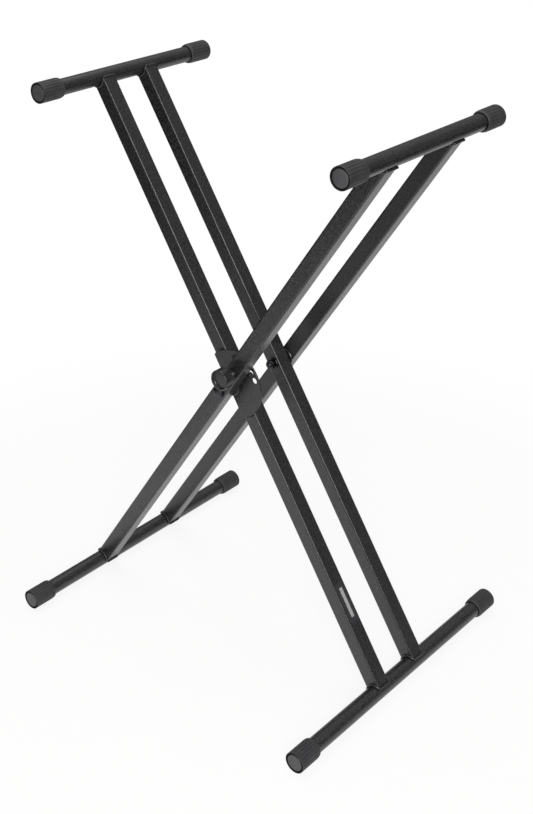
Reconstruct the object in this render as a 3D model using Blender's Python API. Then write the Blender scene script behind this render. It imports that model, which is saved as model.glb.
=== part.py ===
"""Double x keyboard stand: two welded tube frames that cross at one pivot and lock at five heights."""

import math

import bmesh
import bpy
from mathutils import Matrix, Vector

# Driving dimensions, in metres and degrees. X runs across the stand, Y along its bars, Z up.

HALF_LEG = 0.510            # pivot to the axis of a bar, along the leg
LEG_ANGLE = 56.55           # leg to the floor, with the pin in the middle index hole

TUBE_SIDE = 0.025           # square leg tube
TUBE_WALL = 0.0015
TUBE_CORNER = 0.0026
INNER_LEG_CLEAR = 0.064     # open space between the two inner legs

BAR_DIAMETER = 0.025
BAR_WALL = 0.0015
TOP_BAR_LENGTH = 0.342      # bare tube, without its caps
FOOT_BAR_LENGTH = 0.487
BAR_OFFSET = 0.0028         # middle of a frame's bars from the middle of its legs, along Y

CAP_RADIUS = 0.0160         # to the flat land of a rib
CAP_RIBS = 20
CAP_RIB_DEPTH = 0.0007
CAP_RIB_GROOVE = 0.0014     # width of the groove between two lands
CAP_BORE_DEPTH = 0.036
CAP_END_WALL = 0.0060
CAP_LIP_WALL = 0.0013       # rubber round the bar at the mouth
CAP_MOUTH_TAPER = 0.0085
CAP_EDGE_LENGTH = 0.0028    # rounded edge, along the cap and across it
CAP_EDGE_WIDTH = 0.0014
CAP_RING_WIDTH = 0.0012     # groove that frames the end disc
CAP_RING_DEPTH = 0.0012
CAP_RING_INSET = 0.0012     # from the rounded edge to that groove
CAP_RING_DRAFT = 0.0003     # slope of that groove's walls

INDEX_RADIUS = 0.0455
INDEX_STEP = 15.8           # degrees from one height to the next
INDEX_HOLES = 5
PIN_DIAMETER = 0.0094
PIN_PLAY = 0.0003           # all round, between the pin and an index hole
INDEX_RIM = 0.0041          # plate left outside the holes
PLATE_THICKNESS = 0.0030
PLATE_CORNER = 0.0030

BOLT_DIAMETER = 0.008
BOLT_HEAD_RADIUS = 0.0088
BOLT_HEAD_DOME = 0.0034
BOLT_HEAD_EDGE = 0.0008     # straight side under the dome
BOLT_TAIL = 0.0022          # thread past the nut
BOLT_POINT = 0.0007         # chamfer at the end of the thread
NUT_FLATS = 0.013
NUT_HEIGHT = 0.0065
NUT_COLLAR_RADIUS = 0.0060
NUT_COLLAR_HEIGHT = 0.0022
NUT_COLLAR_DRAFT = 0.0007
WASHER_RADIUS = 0.0100
WASHER_THICKNESS = 0.0015
BUSH_WALL = 0.0015          # steel bush across each leg, round the bolt
SPACER_RADIUS = 0.0165
LOCK_SPACER = 0.0069        # between the near outer leg and the plate
PLAIN_SPACER = 0.0025       # between the two far legs
SPACER_CHAMFER = 0.0008

BARREL_DIAMETER = 0.0160
BARREL_WALL = 0.0015
BARREL_FRONT = 0.0030       # stands out of the leg's outer side
BARREL_BACK = 0.0045        # stands out towards the plate
PIN_GUIDE_LENGTH = 0.0060
PIN_COLLAR = 0.0025
PIN_NOSE = 0.0012
STEM_DIAMETER = 0.006
STEM_IN_KNOB = 0.0120
GLAND_FLANGE = 0.0020
GLAND_SPIGOT = 0.0040
KNOB_DIAMETER = 0.0320
KNOB_HEAD = 0.0150
KNOB_HUB_DIAMETER = 0.0160
KNOB_HUB = 0.0070
KNOB_EDGE = 0.0016
KNOB_BACK_EDGE = 0.0012
KNOB_DISH = 0.0038          # depth of the dish in the front face, at the foot of its wall
KNOB_DISH_FLARE = 0.0009    # the dish's wall leans outward by this much
KNOB_DISH_RISE = 0.0004     # the dish's middle stands this much higher
KNOB_RIM = 0.0034

SPRING_WIRE = 0.0012
SPRING_TURNS = 7

WELD_RADIUS = 0.0015
WELD_RISE = 0.0008          # centre of a bead above the tube's face
TACK_RADIUS = 0.0014
TACK_SPREAD = 16.0          # degrees of the plate's rim that one tack covers

GAP = 0.0003                # clearance between pieces that seat on each other

# Worked out from the values above

LEG_TILT = math.radians(LEG_ANGLE)
HALF_TUBE = TUBE_SIDE / 2
BAR_RADIUS = BAR_DIAMETER / 2
PIVOT_Z = HALF_LEG * math.sin(LEG_TILT) + CAP_RADIUS
INNER_Y = (INNER_LEG_CLEAR + TUBE_SIDE) / 2
LOCK_SIDE_GAP = LOCK_SPACER + PLATE_THICKNESS + 3 * GAP
PLAIN_SIDE_GAP = PLAIN_SPACER + 2 * GAP
OUTER_NEAR_Y = -(INNER_Y + TUBE_SIDE + LOCK_SIDE_GAP)
OUTER_FAR_Y = INNER_Y + TUBE_SIDE + PLAIN_SIDE_GAP
INNER_BAR_Y = BAR_OFFSET
OUTER_BAR_Y = (OUTER_NEAR_Y + OUTER_FAR_Y) / 2 + BAR_OFFSET
PIVOT_Y = -(INNER_BAR_Y + OUTER_BAR_Y) / 2
PLATE_BACK_Y = -(INNER_Y + HALF_TUBE + GAP)
PLATE_FRONT_Y = PLATE_BACK_Y - PLATE_THICKNESS
PLATE_RADIUS = INDEX_RADIUS + PIN_DIAMETER / 2 + PIN_PLAY + INDEX_RIM
BOLT_RADIUS = BOLT_DIAMETER / 2
BUSH_BORE = BOLT_RADIUS + GAP
BUSH_RADIUS = BUSH_BORE + BUSH_WALL
PIN_RADIUS = PIN_DIAMETER / 2
STEM_RADIUS = STEM_DIAMETER / 2
BARREL_RADIUS = BARREL_DIAMETER / 2
BARREL_BORE = BARREL_RADIUS - BARREL_WALL
LEG_FRONT_Y = OUTER_NEAR_Y - HALF_TUBE
LEG_BACK_Y = OUTER_NEAR_Y + HALF_TUBE
BARREL_FRONT_Y = LEG_FRONT_Y - BARREL_FRONT
BARREL_BACK_Y = LEG_BACK_Y + BARREL_BACK
GLAND_FRONT_Y = BARREL_FRONT_Y - GAP - GLAND_FLANGE
GLAND_BACK_Y = BARREL_FRONT_Y + GLAND_SPIGOT
KNOB_BACK_Y = GLAND_FRONT_Y - GAP
COLLAR_BACK_Y = BARREL_BACK_Y - PIN_GUIDE_LENGTH - GAP
COLLAR_FRONT_Y = COLLAR_BACK_Y - PIN_COLLAR

ROUND_SIDES = 24
SMALL_SIDES = 18
SHARP_ANGLE = math.radians(35)
FACE_MATCH = 1e-9


# Helpers

def clear_scene():
    for thing in list(bpy.data.objects):
        bpy.data.objects.remove(thing, do_unlink=True)


def paint(name, colour, roughness, metallic):
    material = bpy.data.materials.new(name)
    material.use_nodes = True
    shader = material.node_tree.nodes["Principled BSDF"]
    shader.inputs["Base Color"].default_value = (*colour, 1.0)
    shader.inputs["Roughness"].default_value = roughness
    shader.inputs["Metallic"].default_value = metallic
    material.diffuse_color = (*colour, 1.0)
    return material


def empty(name, matrix):
    holder = bpy.data.objects.new(name, None)
    bpy.context.scene.collection.objects.link(holder)
    holder.matrix_world = matrix
    return holder


def finish(name, bm, material, holder, local=None):
    """Turn a bmesh into an object that hangs from an empty, at a place given in the empty's own axes."""
    bmesh.ops.recalc_face_normals(bm, faces=bm.faces)
    mesh = bpy.data.meshes.new(name)
    bm.to_mesh(mesh)
    bm.free()
    mesh.materials.append(material)
    mesh.shade_smooth()
    mesh.set_sharp_from_angle(angle=SHARP_ANGLE)
    piece = bpy.data.objects.new(name, mesh)
    bpy.context.scene.collection.objects.link(piece)
    piece.parent = holder
    piece.matrix_local = local if local is not None else Matrix.Identity(4)
    return piece


def cutter(piece):
    piece.hide_render = True
    piece.display_type = "WIRE"
    return piece


def boolean(piece, other, operation):
    modifier = piece.modifiers.new(f"{operation.lower()} {other.name}", "BOOLEAN")
    modifier.operation = operation
    modifier.solver = "EXACT"
    modifier.object = other


def ring(bm, points):
    return [bm.verts.new(point) for point in points]


def circle(radius, y, sides, phase=0.0):
    """Points round the Y axis."""
    turns = [phase + 2 * math.pi * k / sides for k in range(sides)]
    return [Vector((radius * math.cos(t), y, radius * math.sin(t))) for t in turns]


def bridge(bm, first, second):
    """Join two rings that start at the same side, whatever their numbers of points."""
    i = j = 0
    n, m = len(first), len(second)
    while i < n or j < m:
        ahead_first, ahead_second = (i + 1) / n, (j + 1) / m
        a, b = first[i % n], second[j % m]
        if abs(ahead_first - ahead_second) < FACE_MATCH:
            bm.faces.new((a, first[(i + 1) % n], second[(j + 1) % m], b))
            i, j = i + 1, j + 1
        elif ahead_first < ahead_second:
            bm.faces.new((a, first[(i + 1) % n], b))
            i += 1
        else:
            bm.faces.new((a, second[(j + 1) % m], b))
            j += 1


def stack(bm, rings, closed):
    """Skin a row of rings. A closed row joins its last ring to its first, an open one gets two end faces."""
    for first, second in zip(rings, rings[1:]):
        bridge(bm, first, second)
    if closed:
        bridge(bm, rings[-1], rings[0])
    else:
        bm.faces.new(rings[0])
        bm.faces.new(list(reversed(rings[-1])))


def turned(profile, closed, sides=ROUND_SIDES, centre=(0.0, 0.0)):
    """Solid of revolution about a line along Y through centre (x, z), from (radius, y) points."""
    bm = bmesh.new()
    rings = [ring(bm, circle(radius, y, sides)) for radius, y in profile]
    stack(bm, rings, closed)
    bmesh.ops.translate(bm, verts=bm.verts, vec=(centre[0], 0.0, centre[1]))
    return bm


def sweep(bm, centres, outward, radius, sides, closed):
    """Round bead along a path. outward gives one sideways direction for each point."""
    rings = []
    count = len(centres)
    for k, centre in enumerate(centres):
        before = centres[(k - 1) % count] if closed or k else centre
        after = centres[(k + 1) % count] if closed or k < count - 1 else centre
        along = (after - before).normalized()
        side = (outward[k] - along * outward[k].dot(along)).normalized()
        up = along.cross(side)
        turns = [2 * math.pi * s / sides for s in range(sides)]
        rings.append(ring(bm, [centre + radius * (math.cos(t) * side + math.sin(t) * up) for t in turns]))
    stack(bm, rings, closed)


def rounded_square(side, corner, steps):
    """Points of a square with round corners, in (y, z)."""
    points = []
    middle = side / 2 - corner
    for quarter, (sy, sz) in enumerate(((1, 1), (-1, 1), (-1, -1), (1, -1))):
        for k in range(steps + 1):
            t = math.pi / 2 * (quarter + k / steps)
            points.append((sy * middle + corner * math.cos(t), sz * middle + corner * math.sin(t)))
    return points


def drill(bm, x, z, y, radius, sides):
    """Add a round cutter along Y, long enough to pass through a leg whose middle is at y."""
    ends = []
    for side in (-1, 1):
        shift = Vector((x, side * TUBE_SIDE, z))
        ends.append(ring(bm, [point + shift for point in circle(radius, y, sides)]))
    stack(bm, ends, closed=False)


# Pieces of a frame. Each frame is modelled about its pivot, with its legs along X and a bar at each end.

def mouth_path():
    """Points (y, z) round a leg just outside its faces, with more of them where the mouth is curved."""
    corner_steps = 1
    curve_stops = 4
    outline = rounded_square(TUBE_SIDE + 2 * WELD_RISE, TUBE_CORNER + WELD_RISE, corner_steps)
    path = []
    for k, (y, z) in enumerate(outline):
        path.append((y, z))
        next_y, next_z = outline[(k + 1) % len(outline)]
        leaves_corner = k % (corner_steps + 1) == corner_steps
        if leaves_corner and abs(next_z - z) > abs(next_y - y):
            for stop in range(1, curve_stops + 1):
                share = stop / (curve_stops + 1)
                path.append((y + share * (next_y - y), z + share * (next_z - z)))
    return path


def leg(name, holder, y, material, barrel_hole=False):
    """Square tube, fish-mouthed on both bars and drilled for its bush, with a weld round each mouth."""
    bm = bmesh.new()
    outer = rounded_square(TUBE_SIDE, TUBE_CORNER, 2)
    inner = rounded_square(TUBE_SIDE - 2 * TUBE_WALL, max(TUBE_CORNER - TUBE_WALL, TUBE_WALL / 4), 2)
    rings = []
    for loop, x in ((outer, -HALF_LEG), (outer, HALF_LEG), (inner, HALF_LEG), (inner, -HALF_LEG)):
        rings.append(ring(bm, [(x, y + py, pz) for py, pz in loop]))
    stack(bm, rings, closed=True)
    tube = finish(name, bm, material, holder)

    cuts = bmesh.new()
    for end in (-HALF_LEG, HALF_LEG):
        drill(cuts, end, 0.0, y, BAR_RADIUS + GAP, ROUND_SIDES)
    drill(cuts, 0.0, 0.0, y, BUSH_RADIUS + GAP, SMALL_SIDES)
    if barrel_hole:
        drill(cuts, INDEX_RADIUS, 0.0, y, BARREL_RADIUS + GAP, SMALL_SIDES)
    boolean(tube, cutter(finish(f"{name}_cuts", cuts, material, holder)), "DIFFERENCE")

    beads = bmesh.new()
    saddle = BAR_RADIUS + GAP + WELD_RADIUS
    for sign in (-1, 1):
        centres = []
        outward = []
        for py, pz in mouth_path():
            drop = math.sqrt(max(saddle ** 2 - pz ** 2, 0.0))
            centres.append(Vector((sign * (HALF_LEG - drop), y + py, pz)))
            outward.append(Vector((0, py, pz)))
        sweep(beads, centres, outward, WELD_RADIUS, 5, closed=True)
    boolean(tube, cutter(finish(f"{name}_beads", beads, material, holder)), "UNION")
    return tube


def bar(name, holder, x, y, length, material):
    near, far = y - length / 2, y + length / 2
    bore = BAR_RADIUS - BAR_WALL
    profile = [(BAR_RADIUS, near), (BAR_RADIUS, far), (bore, far), (bore, near)]
    return finish(name, turned(profile, closed=True, centre=(x, 0.0)), material, holder)


def ribbed_ring(bm, y, depth):
    """Flat lands with a narrow groove between neighbours. A land faces +Z and another -Z."""
    pitch = 2 * math.pi / CAP_RIBS
    land_corner = math.atan(((pitch * CAP_RADIUS - CAP_RIB_GROOVE) / 2) / CAP_RADIUS)
    points = []
    for k in range(CAP_RIBS):
        middle = math.pi / 2 + k * pitch
        for turn, radius in ((middle - land_corner, CAP_RADIUS / math.cos(land_corner)),
                             (middle + land_corner, CAP_RADIUS / math.cos(land_corner)),
                             (middle + pitch / 2, CAP_RADIUS - depth)):
            points.append(Vector((radius * math.cos(turn), y, radius * math.sin(turn))))
    return ring(bm, points)


def cap(name, holder, x, end_y, side, tilt, material):
    """Ribbed rubber cap on the bar's end at end_y. side is -1 for the near end and 1 for the far one."""
    bm = bmesh.new()
    start = math.pi / 2 - math.pi / CAP_RIBS
    bottom = GAP
    mouth = bottom - CAP_BORE_DEPTH
    face = bottom + CAP_END_WALL
    bore = BAR_RADIUS + GAP
    lip = bore + CAP_LIP_WALL
    rim = CAP_RADIUS - CAP_EDGE_WIDTH
    ring_outer = rim - CAP_RING_INSET
    ring_inner = ring_outer - CAP_RING_WIDTH
    groove = face - CAP_RING_DEPTH

    def plain(radius, y):
        return ring(bm, circle(radius, y, ROUND_SIDES, start))

    rings = [
        ring(bm, circle(bore, bottom, SMALL_SIDES, start)),
        ring(bm, circle(bore, mouth, SMALL_SIDES, start)),
        plain(lip, mouth),
        plain((lip + 2 * CAP_RADIUS) / 3, mouth + CAP_MOUTH_TAPER / 2),
        ribbed_ring(bm, mouth + CAP_MOUTH_TAPER, CAP_RIB_DEPTH),
        ribbed_ring(bm, face - CAP_EDGE_LENGTH, CAP_RIB_DEPTH),
        plain(rim, face - CAP_EDGE_LENGTH / 3),
        plain(ring_outer, face),
        plain(ring_outer - CAP_RING_DRAFT, groove),
        plain(ring_inner, groove),
        plain(ring_inner - CAP_RING_DRAFT, face),
    ]
    stack(bm, rings, closed=False)
    turn = Matrix.Identity(4) if side > 0 else Matrix.Rotation(math.pi, 4, "Z")
    place = Matrix.Translation((x, end_y, 0)) @ Matrix.Rotation(-tilt, 4, "Y") @ turn
    return finish(name, bm, material, holder, place)


def bush(name, holder, y, material):
    """Steel tube across a leg, so that the bolt clamps it and not the leg's walls."""
    profile = [(BUSH_RADIUS, y - HALF_TUBE), (BUSH_RADIUS, y + HALF_TUBE),
               (BUSH_BORE, y + HALF_TUBE), (BUSH_BORE, y - HALF_TUBE)]
    return finish(name, turned(profile, closed=True, sides=SMALL_SIDES), material, holder)


def frame(prefix, holder, tilt, top_end, legs, bar_y, steel, rubber):
    """Two legs, their two bars and the bars' four caps. top_end is the sign of X at the top bar."""
    for place, y, barrel_hole in legs:
        leg(f"{prefix}_leg_{place}", holder, y, steel, barrel_hole)
    for level, end, length in (("top", top_end, TOP_BAR_LENGTH), ("foot", -top_end, FOOT_BAR_LENGTH)):
        x = end * HALF_LEG
        bar(f"{prefix}_{level}_bar", holder, x, bar_y, length, steel)
        for place, side in (("near", -1), ("far", 1)):
            end_y = bar_y + side * length / 2
            cap(f"{prefix}_{level}_cap_{place}", holder, x, end_y, side, tilt, rubber)


# Lock plate

def lock_plate(holder, material):
    """Round index plate welded on the near inner leg, cut off flush with the leg's lower side."""
    bm = bmesh.new()
    start = -math.asin(min(HALF_TUBE / PLATE_RADIUS, 1.0))
    sweep_angle = math.pi - 2 * start
    steps = 30
    turns = [start + sweep_angle * k / steps for k in range(steps + 1)]
    rings = []
    for y in (PLATE_FRONT_Y, PLATE_BACK_Y):
        rings.append(ring(bm, [(PLATE_RADIUS * math.cos(t), y, PLATE_RADIUS * math.sin(t)) for t in turns]))
    stack(bm, rings, closed=False)
    corners = [edge for edge in bm.edges
               if abs(edge.verts[0].co.y - edge.verts[1].co.y) > PLATE_THICKNESS / 2
               and edge.calc_face_angle(0.0) > math.radians(50)]
    bmesh.ops.bevel(bm, geom=corners, offset=PLATE_CORNER, segments=3, affect="EDGES", profile=0.5)
    plate = finish("lock_plate", bm, material, holder)

    holes = bmesh.new()
    middle_y = (PLATE_FRONT_Y + PLATE_BACK_Y) / 2
    drill(holes, 0.0, 0.0, middle_y, BUSH_BORE, SMALL_SIDES)
    for k in range(INDEX_HOLES):
        turn = 2 * LEG_TILT + math.radians(INDEX_STEP) * (k - (INDEX_HOLES - 1) / 2)
        x, z = INDEX_RADIUS * math.cos(turn), INDEX_RADIUS * math.sin(turn)
        drill(holes, x, z, middle_y, PIN_RADIUS + PIN_PLAY, SMALL_SIDES)
    boolean(plate, cutter(finish("lock_plate_cuts", holes, material, holder)), "DIFFERENCE")
    return plate


def plate_tack(name, holder, middle, material):
    """Short weld bead in the corner between the plate's rim and the leg's face."""
    bm = bmesh.new()
    radius = PLATE_RADIUS + GAP + TACK_RADIUS
    y = PLATE_BACK_Y - TACK_RADIUS
    steps = 6
    turns = [math.radians(middle + TACK_SPREAD * (k / steps - 1 / 2)) for k in range(steps + 1)]
    centres = [Vector((radius * math.cos(t), y, radius * math.sin(t))) for t in turns]
    outward = [Vector((math.cos(t), 0, math.sin(t))) for t in turns]
    sweep(bm, centres, outward, TACK_RADIUS, 6, closed=False)
    return finish(name, bm, material, holder)


# Pivot. Each side has a bolt with a domed head, two washers, a spacer and a locking nut.

def pivot_side(place, holder, outer_y, inner_y, seat_y, spacer_length, zinc, nylon):
    """Bolt, nut, washers and spacer for the legs at outer_y and inner_y. The spacer starts at seat_y."""
    direction = 1 if inner_y > outer_y else -1

    def along(start, distance):
        return start + direction * distance

    outer_face = along(outer_y, -HALF_TUBE)
    inner_face = along(inner_y, HALF_TUBE)
    washers = (("head", along(outer_face, -GAP - WASHER_THICKNESS)), ("nut", along(inner_face, GAP)))
    for which, y in washers:
        far = along(y, WASHER_THICKNESS)
        profile = [(WASHER_RADIUS, y), (WASHER_RADIUS, far), (BUSH_BORE, far), (BUSH_BORE, y)]
        finish(f"pivot_{which}_washer_{place}", turned(profile, closed=True, sides=SMALL_SIDES), zinc, holder)

    head = along(washers[0][1], -GAP)
    nut_start = along(inner_face, 2 * GAP + WASHER_THICKNESS)
    nut_top = NUT_HEIGHT + NUT_COLLAR_HEIGHT
    tail = along(nut_start, nut_top + BOLT_TAIL)
    profile = [(BOLT_HEAD_RADIUS * math.cos(t), along(head, -BOLT_HEAD_EDGE - BOLT_HEAD_DOME * math.sin(t)))
               for t in (math.radians(a) for a in (75, 50, 25, 0))]
    profile += [(BOLT_HEAD_RADIUS, head), (BOLT_RADIUS, head),
                (BOLT_RADIUS, along(tail, -BOLT_POINT)), (BOLT_RADIUS - BOLT_POINT, tail)]
    finish(f"pivot_bolt_{place}", turned(profile, closed=False, sides=SMALL_SIDES), zinc, holder)

    bm = bmesh.new()
    corner = NUT_FLATS / 2 / math.cos(math.pi / 6)
    collar_top = NUT_COLLAR_RADIUS - NUT_COLLAR_DRAFT
    shapes = [(BUSH_BORE, 0.0, SMALL_SIDES), (corner, 0.0, 6), (corner, NUT_HEIGHT, 6),
              (NUT_COLLAR_RADIUS, NUT_HEIGHT, SMALL_SIDES), (collar_top, nut_top, SMALL_SIDES),
              (BUSH_BORE, nut_top, SMALL_SIDES)]
    rings = [ring(bm, circle(radius, along(nut_start, up), sides)) for radius, up, sides in shapes]
    stack(bm, rings, closed=True)
    finish(f"pivot_nut_{place}", bm, zinc, holder)

    last = along(seat_y, spacer_length)
    edge = min(SPACER_CHAMFER, spacer_length / 3)
    profile = [(SPACER_RADIUS - edge, seat_y), (SPACER_RADIUS, along(seat_y, edge)),
               (SPACER_RADIUS, along(last, -edge)), (SPACER_RADIUS - edge, last),
               (BUSH_BORE, last), (BUSH_BORE, seat_y)]
    finish(f"pivot_spacer_{place}", turned(profile, closed=True, sides=SMALL_SIDES), nylon, holder)


# Lock plunger, at the index radius on the near outer leg

def plunger_barrel(holder, material):
    shoulder = BARREL_BACK_Y - PIN_GUIDE_LENGTH
    guide = PIN_RADIUS + PIN_PLAY
    profile = [(BARREL_RADIUS, BARREL_FRONT_Y), (BARREL_RADIUS, BARREL_BACK_Y), (guide, BARREL_BACK_Y),
               (guide, shoulder), (BARREL_BORE, shoulder), (BARREL_BORE, BARREL_FRONT_Y)]
    return finish("plunger_barrel", turned(profile, closed=True, sides=SMALL_SIDES), material, holder)


def plunger_gland(holder, material):
    """Flanged bush that closes the barrel and holds the spring in."""
    spigot = BARREL_BORE - GAP
    bore = STEM_RADIUS + GAP
    seat = BARREL_FRONT_Y - GAP
    profile = [(BARREL_RADIUS, GLAND_FRONT_Y), (BARREL_RADIUS, seat), (spigot, seat),
               (spigot, GLAND_BACK_Y), (bore, GLAND_BACK_Y), (bore, GLAND_FRONT_Y)]
    return finish("plunger_gland", turned(profile, closed=True, sides=SMALL_SIDES), material, holder)


def index_pin(holder, material):
    """Stem, collar and locking nose in one turned piece. The nose stops just short of the plate."""
    tip = PLATE_FRONT_Y - GAP
    stem_end = KNOB_BACK_Y - STEM_IN_KNOB
    collar = BARREL_BORE - GAP
    profile = [(STEM_RADIUS, stem_end), (STEM_RADIUS, COLLAR_FRONT_Y), (collar, COLLAR_FRONT_Y),
               (collar, COLLAR_BACK_Y), (PIN_RADIUS, COLLAR_BACK_Y), (PIN_RADIUS, tip - PIN_NOSE),
               (PIN_RADIUS - PIN_NOSE, tip)]
    return finish("index_pin", turned(profile, closed=False, sides=SMALL_SIDES), material, holder)


def lock_knob(holder, material):
    """Pull knob: a round head with a shallow dished face, on a hub that rests against the gland."""
    radius, hub = KNOB_DIAMETER / 2, KNOB_HUB_DIAMETER / 2
    bore = STEM_RADIUS + GAP
    head_back = KNOB_BACK_Y - KNOB_HUB
    front = head_back - KNOB_HEAD
    floor = KNOB_BACK_Y - STEM_IN_KNOB - GAP
    dish = radius - KNOB_RIM
    profile = [(dish / 2, front + KNOB_DISH - KNOB_DISH_RISE), (dish, front + KNOB_DISH),
               (dish + KNOB_DISH_FLARE, front)]
    profile += [(radius - KNOB_EDGE * (1 - math.cos(t)), front + KNOB_EDGE * (1 - math.sin(t)))
                for t in (math.radians(a) for a in (90, 45, 0))]
    profile += [(radius, head_back - KNOB_BACK_EDGE), (radius - KNOB_BACK_EDGE, head_back), (hub, head_back),
                (hub, KNOB_BACK_Y), (bore, KNOB_BACK_Y), (bore, floor)]
    return finish("lock_knob", turned(profile, closed=False), material, holder)


def plunger_spring(holder, material):
    """Helix between the gland and the pin's collar."""
    bm = bmesh.new()
    radius = (STEM_RADIUS + BARREL_BORE) / 2
    wire = SPRING_WIRE / 2
    first = GLAND_BACK_Y + GAP + wire
    last = COLLAR_FRONT_Y - GAP - wire
    per_turn = 8
    count = SPRING_TURNS * per_turn
    turns = [2 * math.pi * k / per_turn for k in range(count + 1)]
    centres = [Vector((radius * math.cos(t), first + (last - first) * k / count, radius * math.sin(t)))
               for k, t in enumerate(turns)]
    outward = [Vector((math.cos(t), 0, math.sin(t))) for t in turns]
    sweep(bm, centres, outward, wire, 4, closed=False)
    spans = [(a - b).length for k, a in enumerate(centres) for b in centres[k + per_turn // 2:]]
    print("least gap between two coils of the spring, mm:", round((min(spans) - SPRING_WIRE) * 1000, 2))
    return finish("plunger_spring", bm, material, holder)


# Assembly

def build():
    clear_scene()
    steel = paint("black powder-coated steel", (0.018, 0.018, 0.019), 0.42, 0.0)
    rubber = paint("black rubber", (0.035, 0.035, 0.038), 0.62, 0.0)
    zinc = paint("black zinc", (0.09, 0.09, 0.095), 0.35, 0.9)
    nylon = paint("black nylon", (0.03, 0.03, 0.032), 0.5, 0.0)
    bright = paint("zinc-plated steel", (0.55, 0.56, 0.57), 0.3, 1.0)

    pivot = Matrix.Translation((0, PIVOT_Y, PIVOT_Z))
    inner = empty("inner_frame_pivot", pivot @ Matrix.Rotation(LEG_TILT, 4, "Y"))
    outer = empty("outer_frame_pivot", pivot @ Matrix.Rotation(-LEG_TILT, 4, "Y"))

    inner_legs = (("near", -INNER_Y, False), ("far", INNER_Y, False))
    frame("inner", inner, LEG_TILT, -1, inner_legs, INNER_BAR_Y, steel, rubber)
    outer_legs = (("near", OUTER_NEAR_Y, True), ("far", OUTER_FAR_Y, False))
    frame("outer", outer, -LEG_TILT, 1, outer_legs, OUTER_BAR_Y, steel, rubber)
    for holder, prefix, legs in ((inner, "inner", inner_legs), (outer, "outer", outer_legs)):
        for place, y, _ in legs:
            bush(f"{prefix}_bush_{place}", holder, y, bright)

    lock_plate(inner, steel)
    plate_tack("plate_weld_upper", inner, 180.0, steel)
    plate_tack("plate_weld_lower", inner, 0.0, steel)
    pivot_side("near", inner, OUTER_NEAR_Y, -INNER_Y, LEG_BACK_Y + GAP, LOCK_SPACER, zinc, nylon)
    pivot_side("far", inner, OUTER_FAR_Y, INNER_Y, OUTER_FAR_Y - HALF_TUBE - GAP, PLAIN_SPACER, zinc, nylon)

    at_index = Matrix.Rotation(-LEG_TILT, 4, "Y") @ Matrix.Translation((INDEX_RADIUS, 0, 0))
    plunger = empty("plunger_axis", pivot @ at_index)
    plunger_barrel(plunger, steel)
    plunger_gland(plunger, zinc)
    plunger_spring(plunger, bright)
    index_pin(plunger, bright)
    lock_knob(plunger, nylon)


build()
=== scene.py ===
import math

import bmesh
import bpy
from mathutils import Matrix, Vector, noise


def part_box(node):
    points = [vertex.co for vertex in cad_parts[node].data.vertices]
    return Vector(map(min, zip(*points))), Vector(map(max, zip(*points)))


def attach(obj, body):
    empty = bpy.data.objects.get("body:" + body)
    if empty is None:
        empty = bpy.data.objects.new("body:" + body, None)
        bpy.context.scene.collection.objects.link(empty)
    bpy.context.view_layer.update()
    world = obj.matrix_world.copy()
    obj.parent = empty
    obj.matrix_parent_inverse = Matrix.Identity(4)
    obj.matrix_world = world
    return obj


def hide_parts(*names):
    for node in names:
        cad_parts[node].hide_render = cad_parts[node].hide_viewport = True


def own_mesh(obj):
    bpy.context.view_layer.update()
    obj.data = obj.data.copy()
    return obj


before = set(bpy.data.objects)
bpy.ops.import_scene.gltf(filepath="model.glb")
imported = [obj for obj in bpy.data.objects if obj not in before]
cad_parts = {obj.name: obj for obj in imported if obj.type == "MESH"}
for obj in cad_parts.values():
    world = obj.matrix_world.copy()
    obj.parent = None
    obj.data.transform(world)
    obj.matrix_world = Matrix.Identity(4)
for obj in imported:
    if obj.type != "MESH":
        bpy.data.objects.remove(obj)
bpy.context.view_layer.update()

# Metres and degrees. X runs across the stand, Y along its bars, Z up.
stand = {
    "halfLeg": 0.510,        # pivot to the axis of a bar
    "legAngle": 56.55,
    "pivot": (0.0, -0.000875, 0.441525),
    "tubeSide": 0.025,
    "tubeWall": 0.0015,
    "tubeCorner": 0.0026,
    "barRadius": 0.0125,
    "seatGap": 0.0003,       # between the mouth of a leg and its bar
}


# Materials

noiseLow, noiseHigh = 0.3, 0.7      # most of a noise texture lies between these


def linearColour(hexText):
    parts = [int(hexText[k:k + 2], 16) / 255 for k in (1, 3, 5)]
    return tuple(p / 12.92 if p <= 0.04045 else ((p + 0.055) / 1.055) ** 2.4 for p in parts) + (1.0,)


def patternScale(millimetres):
    # Object coordinates are in metres
    return 1000 / millimetres


def addNode(tree, kind, inputs=None, **settings):
    node = tree.nodes.new(kind)
    for name, value in settings.items():
        setattr(node, name, value)
    for name, value in (inputs or {}).items():
        if isinstance(value, bpy.types.NodeSocket):
            tree.links.new(value, node.inputs[name])
        else:
            node.inputs[name].default_value = value
    return node


def setRamp(node, stops):
    for element, (position, colour) in zip(node.color_ramp.elements, stops):
        element.position = position
        element.color = linearColour(colour)
    return node


def startMaterial(name):
    material = bpy.data.materials.new(name)
    material.use_nodes = True
    tree = material.node_tree
    tree.nodes.clear()
    place = addNode(tree, "ShaderNodeTexCoord").outputs["Object"]
    return material, tree, place


def finishMaterial(material, tree, shaderInputs):
    shader = addNode(tree, "ShaderNodeBsdfPrincipled", shaderInputs)
    addNode(tree, "ShaderNodeOutputMaterial", {"Surface": shader.outputs["BSDF"]})
    material.diffuse_color = shader.inputs["Base Color"].default_value
    return material


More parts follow.
